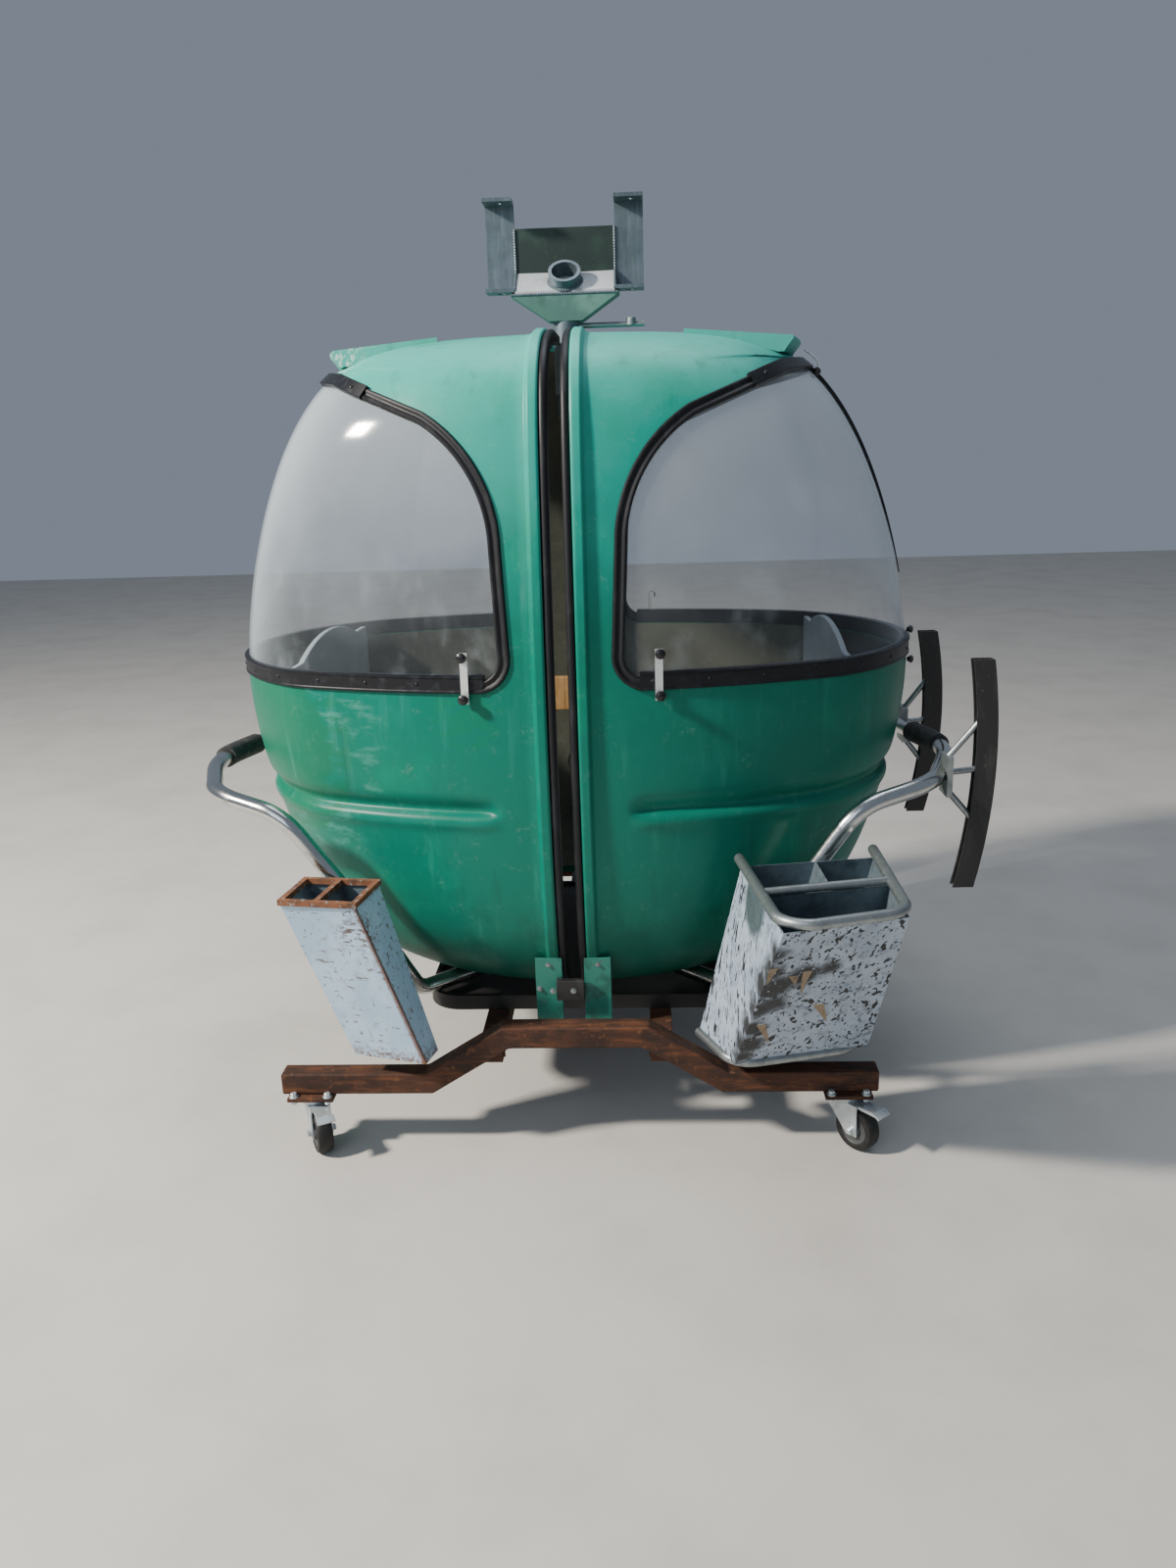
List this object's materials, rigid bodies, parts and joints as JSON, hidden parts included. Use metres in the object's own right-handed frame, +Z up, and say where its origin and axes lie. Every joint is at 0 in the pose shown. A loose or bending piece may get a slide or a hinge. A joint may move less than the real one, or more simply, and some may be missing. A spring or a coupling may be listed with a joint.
{
  "type": "cable car cabin",
  "caption": "Egg-shaped green cable car cabin in two hinged half shells with wrap-round windows, ski baskets and bumper tubes, standing on a steel trolley with castors.",
  "frame": {"origin": "on the floor under the middle of the overall box", "axes": "+Z up, X along the direction of travel between the two window ends, -Y the side where the half shells meet and open"},
  "size_m": [1.8489, 1.5681, 2.064],
  "materials": {
    "galvanised": "weathered hot-dip zinc with tarnish",
    "rusty_steel": "rusted bare steel tube",
    "green_shell": "green painted glass-fibre shell, faded",
    "acrylic": "clear acrylic pane, lightly scratched",
    "black_rubber": "black rubber profile",
    "black_trim": "black plastic trim",
    "bright_steel": "polished stainless tube",
    "bench_grey": "grey moulded bench",
    "pale_paint": "pale blue-grey paint on sheet steel",
    "white_film": "white film on galvanised sheet",
    "rim_steel": "rusted square bar",
    "black_steel": "black painted steel",
    "teal_steel": "green painted steel plate",
    "dark_pan": "black floor pan",
    "board_wood": "varnished board",
    "zinc": "zinc plated castor sheet",
    "tread": "black castor tread"
  },
  "bodies": {
    "frame": {"hanger_bracket": "galvanised", "hanger_socket": "galvanised", "hanger_gusset": "galvanised", "roof_lever": "galvanised", "roof_arm": "galvanised", "rear_post": "galvanised", "hinge_lugs": "galvanised", "post_board": "board_wood", "floor_pan": "dark_pan", "trolley_beam_front": "rusty_steel", "trolley_beam_rear": "rusty_steel", "trolley_rails": "rusty_steel", "castor_plates": "rusty_steel"},
    "half_right": {"basket_right": "white_film", "shell_right": "green_shell", "window_right": "acrylic", "window_profile_right": "black_rubber", "sill_trim_right": "black_trim", "window_clips_right": "bright_steel", "seam_seal_right": "black_rubber", "foot_plate_right": "teal_steel", "bench_right": "bench_grey", "bumper_tube_right": "bright_steel", "tube_sleeve_right": "black_rubber", "hinge_leaves_right": "galvanised", "basket_right_rims": "galvanised", "basket_right_clamps": "galvanised", "guide_bars": "black_steel", "guide_brackets": "galvanised"},
    "half_left": {"basket_left": "pale_paint", "shell_left": "green_shell", "window_left": "acrylic", "window_profile_left": "black_rubber", "sill_trim_left": "black_trim", "window_clips_left": "bright_steel", "seam_seal_left": "black_rubber", "foot_plate_left": "teal_steel", "bench_left": "bench_grey", "bumper_tube_left": "bright_steel", "tube_sleeve_left": "black_rubber", "hinge_leaves_left": "galvanised", "stop_block": "black_steel", "basket_left_rim": "rim_steel", "basket_left_clamps": "galvanised"},
    "castor_front_left": {"castor_fork_front_left": "zinc"},
    "wheel_front_left": {"castor_wheel_front_left": "tread"},
    "castor_front_right": {"castor_fork_front_right": "zinc"},
    "wheel_front_right": {"castor_wheel_front_right": "tread"},
    "castor_rear_left": {"castor_fork_rear_left": "zinc"},
    "wheel_rear_left": {"castor_wheel_rear_left": "tread"},
    "castor_rear_right": {"castor_fork_rear_right": "zinc"},
    "wheel_rear_right": {"castor_wheel_rear_right": "tread"}
  },
  "joints": [
    {"name": "half_right_swing", "type": "hinge", "parent": "frame", "child": "half_right", "pos_m": [-0.017, 0.696, 1], "axis": [0, 0, 1], "range_deg": [-0.3, 21.7]},
    {"name": "half_left_swing", "type": "hinge", "parent": "frame", "child": "half_left", "pos_m": [-0.017, 0.696, 1], "axis": [0, 0, -1], "range_deg": [-0.9, 21.1]},
    {"name": "castor_front_left_swivel", "type": "hinge", "parent": "frame", "child": "castor_front_left", "pos_m": [-0.615, -0.417, 0.12], "axis": [0, 0, 1], "continuous": true},
    {"name": "wheel_front_left_spin", "type": "hinge", "parent": "castor_front_left", "child": "wheel_front_left", "pos_m": [-0.59904, -0.44702, 0.05], "axis": [0.8829, 0.4695, 0], "continuous": true},
    {"name": "castor_front_right_swivel", "type": "hinge", "parent": "frame", "child": "castor_front_right", "pos_m": [0.581, -0.417, 0.12], "axis": [0, 0, 1], "continuous": true},
    {"name": "wheel_front_right_spin", "type": "hinge", "parent": "castor_front_right", "child": "wheel_front_right", "pos_m": [0.60375, -0.44227, 0.05], "axis": [0.7431, 0.6691, 0], "continuous": true},
    {"name": "castor_rear_left_swivel", "type": "hinge", "parent": "frame", "child": "castor_rear_left", "pos_m": [-0.615, 0.679, 0.12], "axis": [0, 0, 1], "continuous": true},
    {"name": "wheel_rear_left_spin", "type": "hinge", "parent": "castor_rear_left", "child": "wheel_rear_left", "pos_m": [-0.62937, 0.70981, 0.05], "axis": [-0.9063, -0.4226, 0], "continuous": true},
    {"name": "castor_rear_right_swivel", "type": "hinge", "parent": "frame", "child": "castor_rear_right", "pos_m": [0.581, 0.679, 0.12], "axis": [0, 0, 1], "continuous": true},
    {"name": "wheel_rear_right_spin", "type": "hinge", "parent": "castor_rear_right", "child": "wheel_rear_right", "pos_m": [0.59263, 0.71095, 0.05], "axis": [-0.9397, 0.342, 0], "continuous": true}
  ]
}
